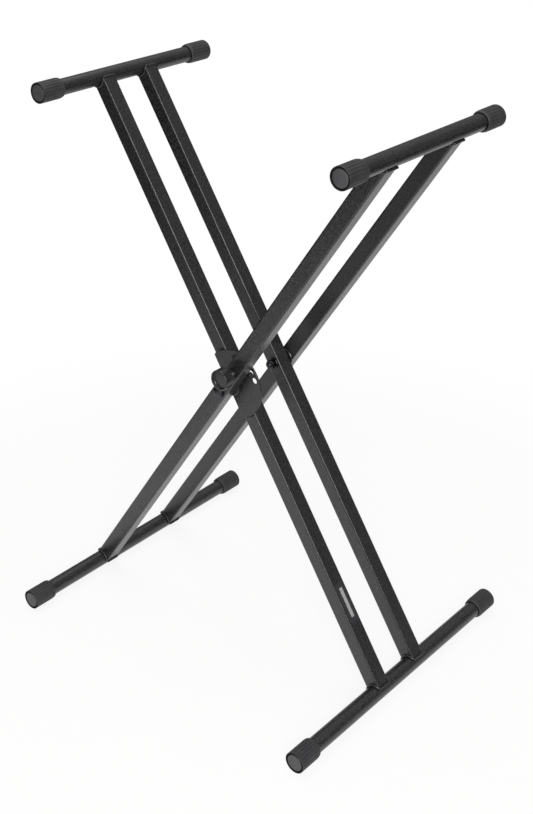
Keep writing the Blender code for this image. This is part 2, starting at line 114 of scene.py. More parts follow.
powderCoat = {
    "dark": "#060607",
    "light": "#343435",
    "speck": 1.6,            # mm. Real specks are near 0.5 mm, too fine to show, so they are coarser
    "speckRange": (0.42, 0.72),         # of the noise, from dark to light
    "peel": 3.2,             # mm, orange peel, drawn about twice as coarse as it is
    "peelStrength": 0.12,
    "peelDepth": 0.0006,
    "grit": 0.7,             # mm, the fine texture of the baked powder
    "gritStrength": 0.16,
    "gritDepth": 0.0002,
    "cloud": 71.4,           # mm, over which the gloss wanders
    "rough": (0.30, 0.38),
    "ior": 1.6,
}


def makePowderCoat():
    # Polyester powder sprayed and baked on steel: satin black with faint orange peel, no metal showing
    material, tree, place = startMaterial("satin black powder coat")
    peel = addNode(tree, "ShaderNodeTexNoise", {
        "Vector": place, "Scale": patternScale(powderCoat["peel"]), "Detail": 1.0, "Roughness": 0.4})
    grit = addNode(tree, "ShaderNodeTexNoise", {
        "Vector": place, "Scale": patternScale(powderCoat["grit"]), "Detail": 2.0, "Roughness": 0.6})
    specks = addNode(tree, "ShaderNodeTexNoise", {
        "Vector": place, "Scale": patternScale(powderCoat["speck"]), "Detail": 1.0, "Roughness": 0.5})
    clouds = addNode(tree, "ShaderNodeTexNoise", {
        "Vector": place, "Scale": patternScale(powderCoat["cloud"]), "Detail": 4.0, "Roughness": 0.6})
    low, high = powderCoat["speckRange"]
    colour = setRamp(addNode(tree, "ShaderNodeValToRGB", {"Fac": specks.outputs["Fac"]}),
                     ((low, powderCoat["dark"]), (high, powderCoat["light"])))
    gloss = addNode(tree, "ShaderNodeMapRange", {
        "Value": clouds.outputs["Fac"], "From Min": noiseLow, "From Max": noiseHigh,
        "To Min": powderCoat["rough"][0], "To Max": powderCoat["rough"][1]})
    gritBump = addNode(tree, "ShaderNodeBump", {
        "Height": grit.outputs["Fac"], "Strength": powderCoat["gritStrength"],
        "Distance": powderCoat["gritDepth"]})
    peelBump = addNode(tree, "ShaderNodeBump", {
        "Height": peel.outputs["Fac"], "Strength": powderCoat["peelStrength"],
        "Distance": powderCoat["peelDepth"], "Normal": gritBump.outputs["Normal"]})
    return finishMaterial(material, tree, {
        "Base Color": colour.outputs["Color"], "Roughness": gloss.outputs["Result"],
        "Normal": peelBump.outputs["Normal"], "IOR": powderCoat["ior"]})


capRubber = {
    # dark, light, roughness
    "ribs": ("#29292b", "#333335", 0.58),
    "disc": ("#3a3a3c", "#434345", 0.46),        # from a polished part of the mould: smoother and paler
    "groove": ("#070708", "#0d0d0e", 0.80),      # rough at its bottom, and darkened with painted shade, as a deep narrow groove is shaded
    "roughSpread": (-0.08, 0.10),
    "toneRange": (0.36, 0.66),
    "bloom": 16.7,           # mm, over which the grey wanders
    "grain": 0.9,            # mm, spark-eroded mould grain, drawn about twice its real size
    "grainStrength": 0.3,
    "grainDepth": 0.00012,
    "ior": 1.5,
}


def makeCapRubber(name, look):
    # Moulded thermoplastic rubber: grey-black, matt, with the fine grain of the mould
    dark, light, roughness = look
    material, tree, place = startMaterial(name)
    grain = addNode(tree, "ShaderNodeTexNoise", {
        "Vector": place, "Scale": patternScale(capRubber["grain"]), "Detail": 3.0, "Roughness": 0.65})
    bloom = addNode(tree, "ShaderNodeTexNoise", {
        "Vector": place, "Scale": patternScale(capRubber["bloom"]), "Detail": 4.0})
    low, high = capRubber["toneRange"]
    colour = setRamp(addNode(tree, "ShaderNodeValToRGB", {"Fac": bloom.outputs["Fac"]}),
                     ((low, dark), (high, light)))
    rough = addNode(tree, "ShaderNodeMapRange", {
        "Value": grain.outputs["Fac"], "From Min": noiseLow, "From Max": noiseHigh,
        "To Min": roughness + capRubber["roughSpread"][0],
        "To Max": roughness + capRubber["roughSpread"][1]})
    bump = addNode(tree, "ShaderNodeBump", {
        "Height": grain.outputs["Fac"], "Strength": capRubber["grainStrength"],
        "Distance": capRubber["grainDepth"]})
    return finishMaterial(material, tree, {
        "Base Color": colour.outputs["Color"], "Roughness": rough.outputs["Result"],
        "Normal": bump.outputs["Normal"], "IOR": capRubber["ior"]})


turnedSteel = {
    # dark, light, roughness, and mm from one tool mark to the next, drawn about three times too coarse
    "black": ("#3a3a3c", "#56565a", 0.34, 0.5),
    "bright": ("#a7a9ab", "#c3c5c7", 0.28, 0.4),
    "roughSpread": (-0.06, 0.08),
    "toneRange": (0.35, 0.7),
    "patch": 5.56,           # mm, over which the zinc changes its tone
    "ringStretch": 0.05,     # keeps the marks in rings about Y
    "markStrength": 0.2,
    "markDepth": 0.00008,
}


def makeTurnedSteel(name, look):
    # Turned steel under a thin zinc layer: a soft metal gloss with the rings left by the tool
    dark, light, roughness, markSize = look
    material, tree, place = startMaterial(name)
    stretch = turnedSteel["ringStretch"]
    rings = addNode(tree, "ShaderNodeMapping", {"Vector": place, "Scale": (stretch, 1.0, stretch)})
    marks = addNode(tree, "ShaderNodeTexNoise", {
        "Vector": rings.outputs["Vector"], "Scale": patternScale(markSize), "Detail": 2.0})
    patches = addNode(tree, "ShaderNodeTexNoise", {
        "Vector": place, "Scale": patternScale(turnedSteel["patch"]), "Detail": 4.0})
    low, high = turnedSteel["toneRange"]
    colour = setRamp(addNode(tree, "ShaderNodeValToRGB", {"Fac": patches.outputs["Fac"]}),
                     ((low, dark), (high, light)))
    rough = addNode(tree, "ShaderNodeMapRange", {
        "Value": marks.outputs["Fac"], "From Min": noiseLow, "From Max": noiseHigh,
        "To Min": roughness + turnedSteel["roughSpread"][0],
        "To Max": roughness + turnedSteel["roughSpread"][1]})
    bump = addNode(tree, "ShaderNodeBump", {
        "Height": marks.outputs["Fac"], "Strength": turnedSteel["markStrength"],
        "Distance": turnedSteel["markDepth"]})
    return finishMaterial(material, tree, {
        "Base Color": colour.outputs["Color"], "Roughness": rough.outputs["Result"],
        "Normal": bump.outputs["Normal"], "Metallic": 1.0})


nylon = {
    "dark": "#1b1b1c",
    "light": "#242425",
    "rough": (0.24, 0.34),
    "toneRange": (0.35, 0.65),
    "flow": 11.1,            # mm, swirls of the glass in the melt
    "grain": 0.8,            # mm
    "grainStrength": 0.12,
    "grainDepth": 0.0001,
    "ior": 1.53,
}


def makeNylon():
    # Injection-moulded glass-filled nylon: black with a low sheen and a faint flow pattern
    material, tree, place = startMaterial("moulded black nylon")
    flow = addNode(tree, "ShaderNodeTexNoise", {
        "Vector": place, "Scale": patternScale(nylon["flow"]), "Detail": 5.0, "Distortion": 0.6})
    grain = addNode(tree, "ShaderNodeTexNoise", {
        "Vector": place, "Scale": patternScale(nylon["grain"]), "Detail": 2.0})
    low, high = nylon["toneRange"]
    colour = setRamp(addNode(tree, "ShaderNodeValToRGB", {"Fac": flow.outputs["Fac"]}),
                     ((low, nylon["dark"]), (high, nylon["light"])))
    rough = addNode(tree, "ShaderNodeMapRange", {
        "Value": flow.outputs["Fac"], "From Min": noiseLow, "From Max": noiseHigh,
        "To Min": nylon["rough"][0], "To Max": nylon["rough"][1]})
    bump = addNode(tree, "ShaderNodeBump", {
        "Height": grain.outputs["Fac"], "Strength": nylon["grainStrength"],
        "Distance": nylon["grainDepth"]})
    return finishMaterial(material, tree, {
        "Base Color": colour.outputs["Color"], "Roughness": rough.outputs["Result"],
        "Normal": bump.outputs["Normal"], "IOR": nylon["ior"]})


film = {
    # dark, light, roughness
    "label": ("#29292c", "#313134", 0.3),
    "field": ("#8f908e", "#9b9c9a", 0.5),
    "ripple": 4.17,          # mm, of the glue
    "rippleStrength": 0.15,
    "rippleDepth": 0.0001,
    "ior": 1.5,
}


def makeFilm(name, look):
    # Vinyl film, printed flat: one even colour, smoother than the coat, with a faint ripple of the glue
    dark, light, roughness = look
    material, tree, place = startMaterial(name)
    ripple = addNode(tree, "ShaderNodeTexNoise", {
        "Vector": place, "Scale": patternScale(film["ripple"]), "Detail": 2.0})
    colour = setRamp(addNode(tree, "ShaderNodeValToRGB", {"Fac": ripple.outputs["Fac"]}),
                     ((noiseLow, dark), (noiseHigh, light)))
    bump = addNode(tree, "ShaderNodeBump", {
        "Height": ripple.outputs["Fac"], "Strength": film["rippleStrength"],
        "Distance": film["rippleDepth"]})
    return finishMaterial(material, tree, {
        "Base Color": colour.outputs["Color"], "Roughness": roughness,
        "Normal": bump.outputs["Normal"], "IOR": film["ior"]})


coat = makePowderCoat()
ribRubber = makeCapRubber("moulded cap rubber", capRubber["ribs"])
discRubber = makeCapRubber("polished cap rubber", capRubber["disc"])
# the groove's rubber is a darker copy of the cap rubber: painted shade
shadedGrooveRubber = makeCapRubber("groove rubber darkened with painted shade", capRubber["groove"])
blackZinc = makeTurnedSteel("black zinc on steel", turnedSteel["black"])
brightZinc = makeTurnedSteel("bright zinc on steel", turnedSteel["bright"])
blackNylon = makeNylon()
labelFilm = makeFilm("black vinyl film", film["label"])
fieldFilm = makeFilm("pale write-on film", film["field"])
print("materials made")


# Mesh helpers

slack = 0.0001           # tells one row of a lathed piece from the next
holeSides = 48


def joinRings(bm, first, second):
    if len(first) == 1 or len(second) == 1:
        pole, ring = (first[0], second) if len(first) == 1 else (second[0], first)
        for k, corner in enumerate(ring):
            bm.faces.new((pole, corner, ring[(k + 1) % len(ring)]))
        return
    for k in range(len(first)):
        after = (k + 1) % len(first)
        bm.faces.new((first[k], first[after], second[after], second[k]))


def lathe(rows, sides, centre, closed=False, shape=None):
    # rows are (radius, y), and a radius of 0 is a pole. shape may change a radius by its angle and y
    bm = bmesh.new()
    rings = []
    for radius, y in rows:
        if radius == 0:
            rings.append([bm.verts.new((centre[0], y, centre[1]))])
            continue
        ring = []
        for k in range(sides):
            angle = 2 * math.pi * k / sides
            reach = shape(angle, y, radius) if shape else radius
            x, z = centre[0] + reach * math.cos(angle), centre[1] + reach * math.sin(angle)
            ring.append(bm.verts.new((x, y, z)))
        rings.append(ring)
    for first, second in zip(rings, rings[1:]):
        joinRings(bm, first, second)
    if closed:
        joinRings(bm, rings[-1], rings[0])
    return bm


def arc(radius, y, width, length, start, end, steps):
    # Rows of a rounding about (radius, y), in degrees from the radial direction
    rows = []
    for k in range(steps + 1):
        turn = math.radians(start + (end - start) * k / steps)
        rows.append((radius + width * math.cos(turn), y + length * math.sin(turn)))
    return rows


def addPiece(name, bm, material, body, nodes, matrix=None, sharp=32):
    bmesh.ops.recalc_face_normals(bm, faces=bm.faces)
    mesh = bpy.data.meshes.new(name)
    bm.to_mesh(mesh)
    bm.free()
    if matrix is not None:
        mesh.transform(matrix)
    mesh.materials.append(material)
    mesh.shade_smooth()
    mesh.set_sharp_from_angle(angle=math.radians(sharp))
    piece = bpy.data.objects.new(name, mesh)
    bpy.context.scene.collection.objects.link(piece)
    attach(piece, body)
    if nodes:
        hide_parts(*nodes)
    return piece


def applyModifiers(piece):
    bpy.context.view_layer.update()
    shown = piece.evaluated_get(bpy.context.evaluated_depsgraph_get())
    mesh = bpy.data.meshes.new_from_object(shown)
    piece.modifiers.clear()
    piece.data = mesh


def cutHoles(piece, holes, matrix, reach):
    # Each hole is (x, z, y, radius), in the frame's own axes
    tools = []
    for x, z, y, radius in holes:
        rows = [(0, y - reach), (radius, y - reach), (radius, y + reach), (0, y + reach)]
        bm = lathe(rows, holeSides, (x, z))
        bmesh.ops.recalc_face_normals(bm, faces=bm.faces)
        mesh = bpy.data.meshes.new("drill")
        bm.to_mesh(mesh)
        bm.free()
        mesh.transform(matrix)
        mesh.materials.append(piece.data.materials[0])
        tool = bpy.data.objects.new("drill", mesh)
        bpy.context.scene.collection.objects.link(tool)
        modifier = piece.modifiers.new("drill", "BOOLEAN")
        modifier.operation = "DIFFERENCE"
        modifier.solver = "EXACT"
        modifier.object = tool
        tools.append(tool)
    applyModifiers(piece)
    for tool in tools:
        bpy.data.objects.remove(tool, do_unlink=True)


def middle(node):
    low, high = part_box(node)
    return (low + high) / 2, low, high


pivotPlace = Matrix.Translation(stand["pivot"])
legTurn = math.radians(stand["legAngle"])
frameAxes = {
    "inner": pivotPlace @ Matrix.Rotation(legTurn, 4, "Y"),
    "outer": pivotPlace @ Matrix.Rotation(-legTurn, 4, "Y"),
}


# Legs: square tube with fish-mouthed ends, and a rippled weld bead round each mouth

legs = {
    "middles": {"inner_near": -0.0445, "inner_far": 0.0445, "outer_near": -0.0803, "outer_far": 0.0726},
    "cornerSteps": 6,
    "flatStops": 10,
    "bushHole": 0.0061,      # radius
    "barrelHole": 0.0083,
    "barrelPlace": 0.0455,   # along the leg from the pivot
}
weld = {
    "radius": 0.00175,
    "fromBar": 0.0018,       # centre of the bead from the bar's surface
    "rise": 0.0009,          # and above the tube's faces
    "ripple": 0.0024,        # one crescent to the next
    "depth": 0.13,           # of a crescent, as a share of the radius
    "wander": 0.10,          # of the bead's width, as the hand moves
    "wanderStep": 0.11,
    "taper": 0.4,            # of an open bead's ends
    "pointsPerRipple": 4,
    "cornerSteps": 8,
    "flatStops": 24,
    "sides": 10,
    "sharp": 60,
}


def squareLoop(side, corner, cornerSteps, flatStops):
    # Rounded square in Y and Z, with points along its flats too
    points = []
    reach = side / 2 - corner
    signs = ((1, 1), (-1, 1), (-1, -1), (1, -1))
    for quarter, (sy, sz) in enumerate(signs):
        for k in range(cornerSteps + 1):
            turn = math.pi / 2 * (quarter + k / cornerSteps)
            points.append((sy * reach + corner * math.cos(turn), sz * reach + corner * math.sin(turn)))
        last = points[-1]
        turn = math.pi / 2 * (quarter + 1)
        ny, nz = signs[(quarter + 1) % 4]
        first = (ny * reach + corner * math.cos(turn), nz * reach + corner * math.sin(turn))
        for k in range(1, flatStops):
            share = k / flatStops
            points.append((last[0] + share * (first[0] - last[0]), last[1] + share * (first[1] - last[1])))
    return points


def mouthDepth(reach, z):
    return math.sqrt(max(reach ** 2 - z ** 2, 0.0))


def makeLeg(name, y):
    side, place = name.split("_")
    saddle = stand["barRadius"] + stand["seatGap"]
    outside = (stand["tubeSide"], stand["tubeCorner"])
    inside = (stand["tubeSide"] - 2 * stand["tubeWall"], stand["tubeCorner"] - stand["tubeWall"])
    bm = bmesh.new()
    rings = []
    for (size, corner), end in ((outside, -1), (outside, 1), (inside, 1), (inside, -1)):
        loop = squareLoop(size, corner, legs["cornerSteps"], legs["flatStops"])
        rings.append([bm.verts.new((end * (stand["halfLeg"] - mouthDepth(saddle, z)), y + py, z))
                      for py, z in loop])
    for k, ring in enumerate(rings):
        joinRings(bm, ring, rings[(k + 1) % 4])
    piece = addPiece(f"tube_{name}", bm, coat, f"{side}_frame",
                     [f"{side}_leg_{place}"], frameAxes[side])
    holes = [(0.0, 0.0, y, legs["bushHole"])]
    if name == "outer_near":
        holes.append((legs["barrelPlace"], 0.0, y, legs["barrelHole"]))
    cutHoles(piece, holes, frameAxes[side], stand["tubeSide"])
    even = piece.modifiers.new("even faces", "WEIGHTED_NORMAL")
    even.keep_sharp = True
    return piece


def loopLengths(loop):
    return [math.dist(a, b) for a, b in zip(loop, loop[1:] + loop[:1])]


def evenPath(loop, count):
    # Points at equal distances along a closed loop
    lengths = loopLengths(loop)
    whole = sum(lengths)
    points = []
    k, walked = 0, 0.0
    for n in range(count):
        target = whole * n / count
        while walked + lengths[k] < target:
            walked += lengths[k]
            k += 1
        share = (target - walked) / lengths[k]
        a, b = loop[k], loop[(k + 1) % len(loop)]
        points.append((a[0] + share * (b[0] - a[0]), a[1] + share * (b[1] - a[1])))
    return points


def sweepBead(bm, centres, outwards, radius, closed, seed):
    # A rippled bead along its centres. An open bead tapers to a point at each end
    rings = []
    count = len(centres)
    for k, centre in enumerate(centres):
        before, after = (k - 1, (k + 1) % count) if closed else (max(k - 1, 0), min(k + 1, count - 1))
        along = (centres[after] - centres[before]).normalized()
        outward = (outwards[k] - along * outwards[k].dot(along)).normalized()
        across = along.cross(outward)
        phase = (k / weld["pointsPerRipple"]) % 1.0
        drift = noise.noise(Vector((k * weld["wanderStep"], seed, 0.0)))
        swell = 1 + weld["depth"] * (phase - 0.5) + weld["wander"] * drift
        if not closed:
            swell *= math.sin(math.pi * k / (count - 1)) ** weld["taper"]
            if k in (0, count - 1):
                rings.append([bm.verts.new(centre)])
                continue
        ring = []
        for s in range(weld["sides"]):
            turn = 2 * math.pi * s / weld["sides"]
            spoke = math.cos(turn) * outward + math.sin(turn) * across
            ring.append(bm.verts.new(centre + radius * swell * spoke))
        rings.append(ring)
    for first, second in zip(rings, rings[1:] + rings[:1] if closed else rings[1:]):
        joinRings(bm, first, second)


def makeWeld(name, side, y, end, seed):
    rise = weld["rise"]
    loop = squareLoop(stand["tubeSide"] + 2 * rise, stand["tubeCorner"] + rise,
                      weld["cornerSteps"], weld["flatStops"])
    ripples = round(sum(loopLengths(loop)) / weld["ripple"])
    points = evenPath(loop, ripples * weld["pointsPerRipple"])
    saddle = stand["barRadius"] + weld["fromBar"]
    centres = [Vector((end * (stand["halfLeg"] - mouthDepth(saddle, z)), y + py, z)) for py, z in points]
    outwards = [Vector((0, py, z)) for py, z in points]
    bm = bmesh.new()
    sweepBead(bm, centres, outwards, weld["radius"], True, seed)
    return addPiece(name, bm, coat, f"{side}_frame", [], frameAxes[side], weld["sharp"])


for number, (name, y) in enumerate(legs["middles"].items()):
    side = name.split("_")[0]
    makeLeg(name, y)
    topEnd = -1 if side == "inner" else 1
    for level, end in (("top", topEnd), ("foot", -topEnd)):
        seed = number * 2.7 + end       # so that no two beads are alike
        makeWeld(f"weld_{name}_{level}", side, y, end, seed)
print("legs and welds made")


# Bars: round tube, seen between the caps

bars = {"sides": 72, "wall": 0.0015}
for side in ("inner", "outer"):
    for level in ("top", "foot"):
        node = f"{side}_{level}_bar"
        centre, low, high = middle(node)
        outer, bore = stand["barRadius"], stand["barRadius"] - bars["wall"]
        rows = [(outer, low.y), (outer, high.y), (bore, high.y), (bore, low.y)]
        bm = lathe(rows, bars["sides"], (centre.x, centre.z), closed=True)
        addPiece(f"tube_{side}_{level}_bar", bm, coat, f"{side}_frame", [node])
print("bars made")


# Caps: ribbed rubber, with a rounded shoulder at the mouth and a disc framed by a groove at the end

cap = {
    "radius": 0.0160,
    "bore": 0.0128,
    "depth": 0.0360,         # of the bore
    "leadIn": 0.0009,        # the bore opens up by this at the mouth
    "leadDepth": 0.0040,
    "leadSlope": 0.0005,
    "lip": 0.0013,           # rubber round the bore at the mouth
    "lipEdge": 0.0004,
    "shoulder": 0.0080,
    "shoulderSteps": 10,
    "bodySteps": 8,
    "ribs": 20,
    "ribGroove": 0.0019,
    "ribDepth": 0.00085,
    "ribStart": (0.2, 0.5),  # where the ribs begin and how far they take to rise, in shoulders
    "ribFade": (0.25, 0.9),  # and the same from the end face, in rib ends
    "ribEnd": 0.0014,
    "stepsPerRib": 10,
    "edgeLength": 0.0007,
    "edgeWidth": 0.0004,
    "landWidth": 0.0001,
    "ringWidth": 0.0028,     # groove that frames the disc
    "ringDepth": 0.0044,
    "ringChamfer": (0.0004, 0.0007),
    "ringDraft": 0.0006,
    "discDraft": 0.0002,
    "discRoll": 0.0013,      # rounded edge of the disc, across it and in depth
    "discDrop": 0.0009,
    "discDome": 0.0002,
}


def smoothShare(value):
    value = min(max(value, 0.0), 1.0)
    return value * value * (3 - 2 * value)


def makeCap(node, side):
    centre, low, high = middle(node)
    near = node.endswith("near")
    face, mouth = (low.y, high.y) if near else (high.y, low.y)
    out = -1 if near else 1
    radius, lip = cap["radius"], cap["bore"] + cap["lip"]
    pitch = 2 * math.pi / cap["ribs"]

    def ribShare(y):
        start, rise = cap["ribStart"]
        stop, fade = cap["ribFade"]
        fromMouth = (y - mouth) * out / cap["shoulder"]
        fromFace = (face - y) * out / cap["ribEnd"]
        return smoothShare((fromMouth - start) / rise) * smoothShare((fromFace - stop) / fade)

    def ribbed(angle, y, reach):
        if reach < radius - cap["edgeWidth"] - slack:
            return reach
        off = ((angle - math.pi / 2) / pitch - 0.5) % 1.0       # a land looks straight up and another down
        away = min(off, 1 - off) * pitch * radius
        cut = math.cos(math.pi / 2 * min(2 * away / cap["ribGroove"], 1.0)) ** 2
        return reach - cap["ribDepth"] * cut * ribShare(y)

    bottom = mouth + out * cap["depth"]
    lead, lipEdge = cap["bore"] + cap["leadIn"], cap["lipEdge"]
    rows = [(0, bottom), (cap["bore"], bottom), (cap["bore"], mouth + out * cap["leadDepth"]),
            (lead, mouth + out * (cap["leadDepth"] - cap["leadSlope"])), (lead, mouth),
            (lip - lipEdge / 2, mouth), (lip, mouth + out * lipEdge)]
    for k in range(1, cap["shoulderSteps"] + 1):
        share = k / cap["shoulderSteps"]
        swell = math.sqrt(1 - (1 - share) ** 2)
        rows.append((lip + (radius - lip) * swell,
                     mouth + out * (lipEdge + (cap["shoulder"] - lipEdge) * share)))
    body = (face - mouth) * out - cap["shoulder"] - cap["edgeLength"]
    for k in range(1, cap["bodySteps"]):
        rows.append((radius, mouth + out * (cap["shoulder"] + body * k / cap["bodySteps"])))
    rows += arc(radius - cap["edgeWidth"], face - out * cap["edgeLength"],
                cap["edgeWidth"], out * cap["edgeLength"], 0, 90, 6)

    ringOuter = radius - cap["edgeWidth"] - cap["landWidth"]
    ringInner = ringOuter - cap["ringWidth"]
    floor = face - out * cap["ringDepth"]
    chamferWidth, chamferDepth = cap["ringChamfer"]
    rows += [(ringOuter, face), (ringOuter - chamferWidth, face - out * chamferDepth),
             (ringOuter - cap["ringDraft"], floor), (ringInner, floor)]
    flat = ringInner - cap["discDraft"] - cap["discRoll"]
    rows += arc(flat, face - out * (cap["discDome"] + cap["discDrop"]),
                cap["discRoll"], out * cap["discDrop"], 0, 90, 6)
    for share in (0.8, 0.6, 0.4, 0.2):
        rows.append((flat * share, face - out * cap["discDome"] * share ** 2))
    rows.append((0, face))
    bm = lathe(rows, cap["ribs"] * cap["stepsPerRib"], (centre.x, centre.z), shape=ribbed)
    piece = addPiece(f"rubber_{node}", bm, ribRubber, f"{side}_frame", [node], sharp=48)

    for material in (discRubber, shadedGrooveRubber):
        piece.data.materials.append(material)
    wallLine = ringInner - 0.75 * cap["discDraft"]      # between the disc's edge and the groove's wall
    for polygon in piece.data.polygons:
        spot = polygon.center
        reach, down = math.hypot(spot.x - centre.x, spot.z - centre.z), abs(spot.y - face)
        if reach < wallLine and down < cap["discDrop"] + cap["discDome"]:
            polygon.material_index = 1
        # the groove's wall and floor take the rubber darkened with painted shade
        elif wallLine < reach < ringOuter and slack < down < cap["ringDepth"] + slack:
            polygon.material_index = 2
    return piece


for side in ("inner", "outer"):
    for level in ("top", "foot"):
        for place in ("near", "far"):
            makeCap(f"{side}_{level}_cap_{place}", side)
print("caps made")


# Index plate: a disc about the pivot, cut flush with the leg, with its holes on an arc

plate = {
    "radius": 0.0546,
    "frontY": -0.0603,
    "thickness": 0.003,
    "corner": 0.003,
    "steps": 96,
    "rim": 0.0009,           # rounding of the rim
    "edge": 0.0003,          # and of the holes
    "boltHole": 0.0043,
    "holeRadius": 0.0050,
    "holeCircle": 0.0455,
    "holeStep": 15.8,
    "holes": 5,
    "drillReach": 0.01,
    "tacks": {"plate_weld_upper": (180.0, 4.1), "plate_weld_lower": (0.0, 9.3)},    # angle and seed
    "tackRadius": 0.0017,
    "tackSpread": 15.0,      # degrees of the rim under one tack
    "tackSteps": 28,
    "tackOut": 0.75,         # its centre from the rim, in its own radii
    "tackLift": 0.7,         # and from the leg's face
}


def arcPoints(x, z, radius, start, end, steps):
    turns = [start + (end - start) * k / steps for k in range(steps + 1)]
    return [(x + radius * math.cos(t), z + radius * math.sin(t)) for t in turns]


def plateOutline(inset):
    # The rim, and a rounded corner where it meets the straight cut on each side
    height = plate["corner"] - stand["tubeSide"] / 2
    reach = plate["radius"] - plate["corner"]
    across = math.sqrt(reach ** 2 - height ** 2)
    turn = math.atan2(height, across)
    corner = plate["corner"] - inset
    return (arcPoints(0, 0, plate["radius"] - inset, turn, math.pi - turn, plate["steps"])
            + arcPoints(-across, height, corner, math.pi - turn, 1.5 * math.pi, 8)[1:]
            + arcPoints(across, height, corner, -0.5 * math.pi, turn, 8)[:-1])


def makePlate():
    rim, frontY, backY = plate["rim"], plate["frontY"], plate["frontY"] + plate["thickness"]
    turns = [math.radians(a) for a in (0, 30, 60, 90)]
    section = [(rim * (1 - math.sin(t)), frontY + rim * (1 - math.cos(t))) for t in turns]
    section += [(inset, frontY + backY - y) for inset, y in reversed(section)]
    bm = bmesh.new()
    rings = [[bm.verts.new((x, y, z)) for x, z in plateOutline(inset)] for inset, y in section]
    for first, second in zip(rings, rings[1:]):
        joinRings(bm, first, second)
    bm.faces.new(rings[0])
    bm.faces.new(rings[-1])
    piece = addPiece("steel_lock_plate", bm, coat, "inner_frame", ["lock_plate"],
                     frameAxes["inner"])
    y = frontY + plate["thickness"] / 2
    holes = [(0.0, 0.0, y, plate["boltHole"])]
    for k in range(plate["holes"]):
        turn = math.radians(2 * stand["legAngle"] + plate["holeStep"] * (k - (plate["holes"] - 1) / 2))
        x, z = plate["holeCircle"] * math.cos(turn), plate["holeCircle"] * math.sin(turn)
        holes.append((x, z, y, plate["holeRadius"]))
    cutHoles(piece, holes, frameAxes["inner"], plate["drillReach"])
    bevel = piece.modifiers.new("broken edges", "BEVEL")
    bevel.width = plate["edge"]
    bevel.segments = 2
    bevel.limit_method = "ANGLE"
    bevel.angle_limit = math.radians(50)
    even = piece.modifiers.new("even faces", "WEIGHTED_NORMAL")
    even.keep_sharp = False
    return piece


def makeTack(node, middleAngle, seed):
    # Short bead in the corner between the rim and the leg's face
    steps, radius = plate["tackSteps"], plate["tackRadius"]
    reach = plate["radius"] + radius * plate["tackOut"]
    y = plate["frontY"] + plate["thickness"] - radius * plate["tackLift"]
    outwards = []
    for k in range(steps + 1):
        turn = math.radians(middleAngle + plate["tackSpread"] * (k / steps - 0.5))
        outwards.append(Vector((math.cos(turn), 0, math.sin(turn))))
    centres = [reach * outward + Vector((0, y, 0)) for outward in outwards]
    bm = bmesh.new()
    sweepBead(bm, centres, outwards, radius, False, seed)
    addPiece(f"bead_{node}", bm, coat, "inner_frame", [node], frameAxes["inner"],
             weld["sharp"])


makePlate()
for node, (middleAngle, seed) in plate["tacks"].items():
    makeTack(node, middleAngle, seed)
print("index plate made")


# Pivot hardware: domed bolt, washers, locking nut and spacer on each side

hardware = {
    "sides": 60,
    "bore": 0.0043,          # of washers, spacers and nuts
    "washerRadius": 0.0100,
    "washerEdge": 0.00025,
    "spacerRadius": 0.0165,
    "spacerEdge": 0.0008,
    "boltRadius": 0.0040,
    "headRadius": 0.0088,
    "headDome": 0.0034,
    "headEdge": 0.0008,      # straight side under the dome
    "headUnder": 0.0003,     # broken edge under the head
    "thread": 0.00125,       # pitch of M8
    "threadDepth": 0.0006,
    "threadLength": 0.0043,
    "threadRunOut": 0.0002,
    "threadSteps": 36,
    "pointLength": 0.0006,
    "pointDepth": 0.0007,
    "nutFlats": 0.013,
    "nutHeight": 0.0065,
    "nutChamfer": 0.0002,    # past the flats
    "collarRadius": 0.0060,
    "collarDraft": 0.0007,
}


def hexagon(angle, flats):
    return flats / 2 / math.cos((angle + math.pi / 6) % (math.pi / 3) - math.pi / 6)


def makeRound(node, material, body, rows, closed, shape=None):
    centre = middle(node)[0]
    bm = lathe(rows, hardware["sides"], (centre.x, centre.z), closed, shape)
    return addPiece(f"turned_{node}", bm, material, body, [node])


def discRows(inner, outer, first, last, edge):
    # A ring with broken outer edges, from first to last along Y
    out = 1 if last > first else -1
    return [(inner, first), (outer - edge, first), (outer, first + out * edge), (outer, last - out * edge),
            (outer - edge, last), (inner, last)]


def makeWasher(node):
    low, high = middle(node)[1:]
    rows = discRows(hardware["bore"], hardware["washerRadius"], low.y, high.y, hardware["washerEdge"])
    makeRound(node, blackZinc, "inner_frame", rows, True)


def makeSpacer(node):
    low, high = middle(node)[1:]
    edge = min(hardware["spacerEdge"], (high.y - low.y) / 3)
    rows = discRows(hardware["bore"], hardware["spacerRadius"], low.y, high.y, edge)
    makeRound(node, blackNylon, "inner_frame", rows, True)


def makeNut(node, out):
    low, high = middle(node)[1:]
    first, last = (high.y, low.y) if out > 0 else (low.y, high.y)
    top = first - out * hardware["nutHeight"]
    halfFlats, collar = hardware["nutFlats"] / 2, hardware["collarRadius"]
    corner = halfFlats / math.cos(math.pi / 6)
    chamfer = corner - halfFlats + hardware["nutChamfer"]

    def nutShape(angle, y, radius):
        return min(radius, hexagon(angle, hardware["nutFlats"])) if radius > collar + slack else radius

    rows = [(hardware["bore"], first), (corner - chamfer, first), (corner, first - out * chamfer * 0.5),
            (corner, top + out * chamfer * 0.5), (corner - chamfer, top), (collar, top)]
    for turn in (math.radians(a) for a in (0, 30, 60, 90)):
        rows.append((collar - hardware["collarDraft"] * (1 - math.cos(turn)),
                     top + (last - top) * (0.5 + 0.5 * math.sin(turn))))
    rows.append((hardware["bore"], last))
    makeRound(node, blackZinc, "inner_frame", rows, True, nutShape)


